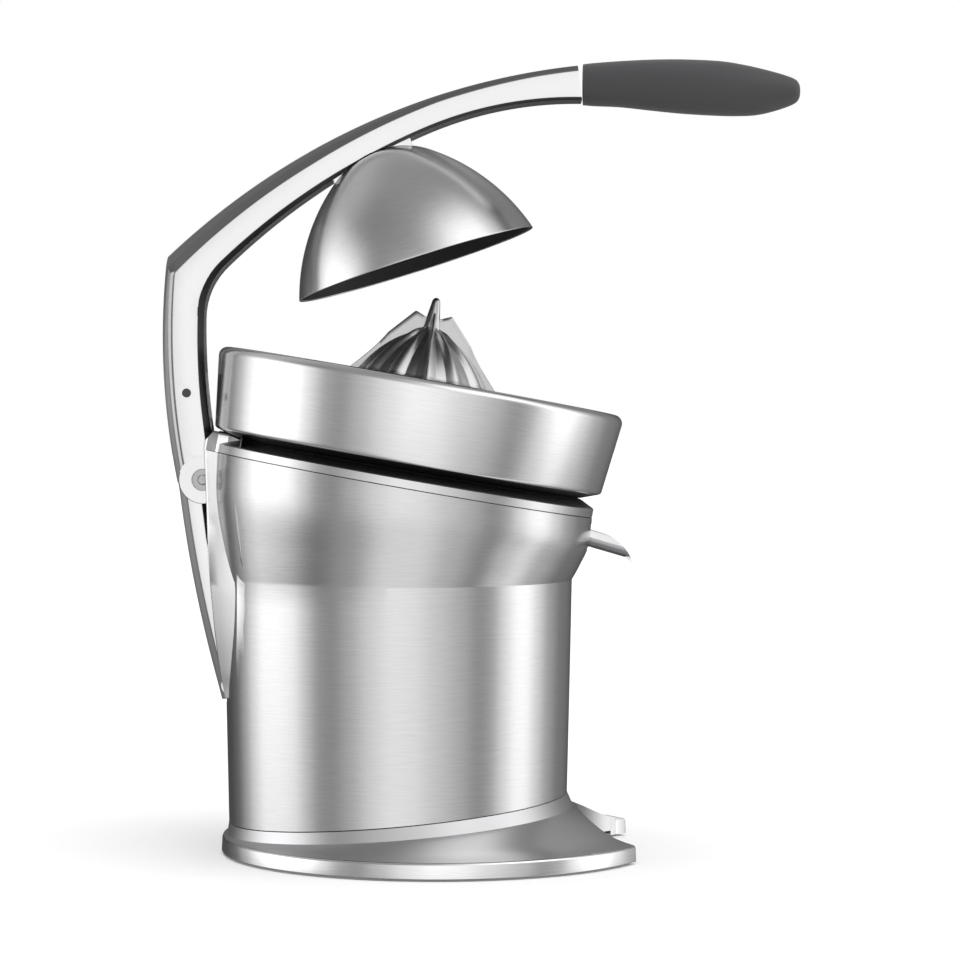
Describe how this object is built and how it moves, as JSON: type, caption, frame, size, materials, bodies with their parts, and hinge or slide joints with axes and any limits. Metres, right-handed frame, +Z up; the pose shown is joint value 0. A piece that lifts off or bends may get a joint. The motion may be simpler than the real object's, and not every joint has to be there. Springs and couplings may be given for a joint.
{
  "type": "citrus press",
  "caption": "Lever-arm electric citrus press: round steel housing, leaning bowl with strainer and finned cone, linked cast arm with pressing dome and dark grip, drip spout over a glass recess",
  "frame": {"origin": "centre of the round foot, on the surface that it stands on", "axes": "+X towards the spout, +Y away from the side that the picture shows, +Z up"},
  "size_m": [0.3427, 0.2344, 0.4266],
  "materials": {
    "foot_casting": "cast and painted a satin grey",
    "base_ring": "polished band",
    "base_plate": "moulded, matt",
    "rubber_feet": "soft rubber",
    "base_screws": "zinc plated",
    "cord_gland": "soft rubber",
    "motor_housing": "brushed round the axis",
    "top_deck": "cast, satin",
    "bowl_seal": "soft rubber",
    "upper_bearing": "sintered",
    "shaft_seal": "soft rubber",
    "lower_bearing": "sintered",
    "thrust_springs": "blued spring steel",
    "start_switch": "moulded",
    "gearbox_case": "die cast",
    "gearbox_lid": "die cast",
    "gearbox_screws": "zinc plated",
    "deck_screws": "zinc plated",
    "idler_shaft": "ground",
    "motor_can": "drawn steel, plated",
    "motor_cover": "moulded",
    "motor_bushes": "sintered",
    "stator_core": "stacked sheets",
    "juice_funnel": "moulded",
    "spout_pins": "ground",
    "tail_pin": "ground",
    "guide_pin": "ground",
    "tail_link": "cast, satin",
    "press_arm": "cast, satin with bevelled edges",
    "arm_pivot_pins": "turned, with a socket",
    "link_pin": "ground",
    "arm_cross_pin": "blackened",
    "grip_sleeve": "soft, satin black",
    "dome_carrier": "cast, satin",
    "dome_shell": "spun and polished",
    "dome_liner": "moulded",
    "dome_screws": "plated",
    "guide_link": "cast",
    "thrust_washer": "hardened",
    "drive_spindle": "ground",
    "output_gear": "moulded, greased",
    "reamer_cone": "cast and polished",
    "cone_hub": "moulded",
    "strainer_basket": "pressed and slotted",
    "juice_bowl": "brushed round the axis",
    "idler_gear": "moulded, greased",
    "rotor_shaft": "ground",
    "rotor_core": "stacked sheets",
    "motor_pinion": "cut",
    "switch_plunger": "moulded",
    "drip_spout": "pressed and polished"
  },
  "bodies": {
    "root": {"foot_casting": "foot_casting", "base_ring": "base_ring", "base_plate": "base_plate", "rubber_feet": "rubber_feet", "base_screws": "base_screws", "cord_gland": "cord_gland", "motor_housing": "motor_housing", "top_deck": "top_deck", "bowl_seal": "bowl_seal", "upper_bearing": "upper_bearing", "shaft_seal": "shaft_seal", "lower_bearing": "lower_bearing", "thrust_springs": "thrust_springs", "start_switch": "start_switch", "gearbox_case": "gearbox_case", "gearbox_lid": "gearbox_lid", "gearbox_screws": "gearbox_screws", "deck_screws": "deck_screws", "idler_shaft": "idler_shaft", "motor_can": "motor_can", "motor_cover": "motor_cover", "motor_bushes": "motor_bushes", "stator_core": "stator_core", "juice_funnel": "juice_funnel", "spout_pins": "spout_pins", "tail_pin": "tail_pin", "guide_pin": "guide_pin"},
    "tail": {"tail_link": "tail_link"},
    "arm": {"press_arm": "press_arm", "arm_pivot_pins": "arm_pivot_pins", "link_pin": "link_pin", "arm_cross_pin": "arm_cross_pin", "grip_sleeve": "grip_sleeve", "dome_carrier": "dome_carrier", "dome_shell": "dome_shell", "dome_liner": "dome_liner", "dome_screws": "dome_screws"},
    "guide": {"guide_link": "guide_link"},
    "thrust": {"thrust_washer": "thrust_washer"},
    "spindle": {"drive_spindle": "drive_spindle", "output_gear": "output_gear"},
    "cone": {"reamer_cone": "reamer_cone", "cone_hub": "cone_hub"},
    "strainer": {"strainer_basket": "strainer_basket"},
    "bowl": {"juice_bowl": "juice_bowl"},
    "idler": {"idler_gear": "idler_gear"},
    "rotor": {"rotor_shaft": "rotor_shaft", "rotor_core": "rotor_core", "motor_pinion": "motor_pinion"},
    "plunger": {"switch_plunger": "switch_plunger"},
    "spout": {"drip_spout": "drip_spout"}
  },
  "joints": [
    {"name": "arm_fold", "type": "hinge", "parent": "tail", "child": "arm", "pos_m": [-0.1265, 0, 0.2001], "axis": [0, -1, 0], "range_deg": [-47.4, 0]},
    {"name": "tail_swing", "type": "hinge", "parent": "root", "child": "tail", "pos_m": [-0.111, 0, 0.09], "axis": [0, -1, 0], "range_deg": [0, 20.81]},
    {"name": "guide_swing", "type": "hinge", "parent": "root", "child": "guide", "pos_m": [-0.1198, 0, 0.1854], "axis": [0, -1, 0], "range_deg": [0, 36.72]},
    {"name": "spindle_press", "type": "slide", "parent": "root", "child": "thrust", "axis": [0.1736, 0, 0.9848], "range_m": [-0.002, 0], "stiffness_N_per_m": 3000, "springref_m": 0.003, "deforming": ["thrust_springs"]},
    {"name": "cone_spin", "type": "hinge", "parent": "thrust", "child": "spindle", "pos_m": [-0.0189, 0, 0.1974], "axis": [0.1736, 0, 0.9848], "continuous": true},
    {"name": "cone_lift", "type": "slide", "parent": "spindle", "child": "cone", "axis": [0.1736, 0, 0.9848], "range_m": [0, 0.06]},
    {"name": "strainer_lift", "type": "slide", "parent": "root", "child": "strainer", "axis": [0.1736, 0, 0.9848], "range_m": [0, 0.04]},
    {"name": "bowl_lift", "type": "slide", "parent": "root", "child": "bowl", "axis": [0.1736, 0, 0.9848], "range_m": [0, 0.02]},
    {"name": "idler_spin", "type": "hinge", "parent": "root", "child": "idler", "pos_m": [-0.05583, 0, 0.20391], "axis": [0.1736, 0, 0.9848], "continuous": true},
    {"name": "rotor_spin", "type": "hinge", "parent": "root", "child": "rotor", "pos_m": [-0.0488, 0.02666, 0.20267], "axis": [0.1736, 0, 0.9848], "continuous": true},
    {"name": "switch_press", "type": "slide", "parent": "root", "child": "plunger", "axis": [0.1736, 0, 0.9848], "range_m": [-0.002, 0]},
    {"name": "spout_tilt", "type": "hinge", "parent": "root", "child": "spout", "pos_m": [0.07719, 0, 0.17259], "axis": [0, -1, 0], "range_deg": [0, 20]}
  ],
  "couplings": [
    {"joint": "tail_swing", "follows": "arm_fold", "ratio": -0.43882},
    {"joint": "guide_swing", "follows": "arm_fold", "ratio": -0.77457},
    {"joint": "strainer_lift", "follows": "cone_lift", "ratio": 0.66667},
    {"joint": "bowl_lift", "follows": "cone_lift", "ratio": 0.33333},
    {"joint": "idler_spin", "follows": "cone_spin", "ratio": -2.5714},
    {"joint": "rotor_spin", "follows": "cone_spin", "ratio": 7.2857},
    {"joint": "switch_press", "follows": "spindle_press", "ratio": 1}
  ]
}
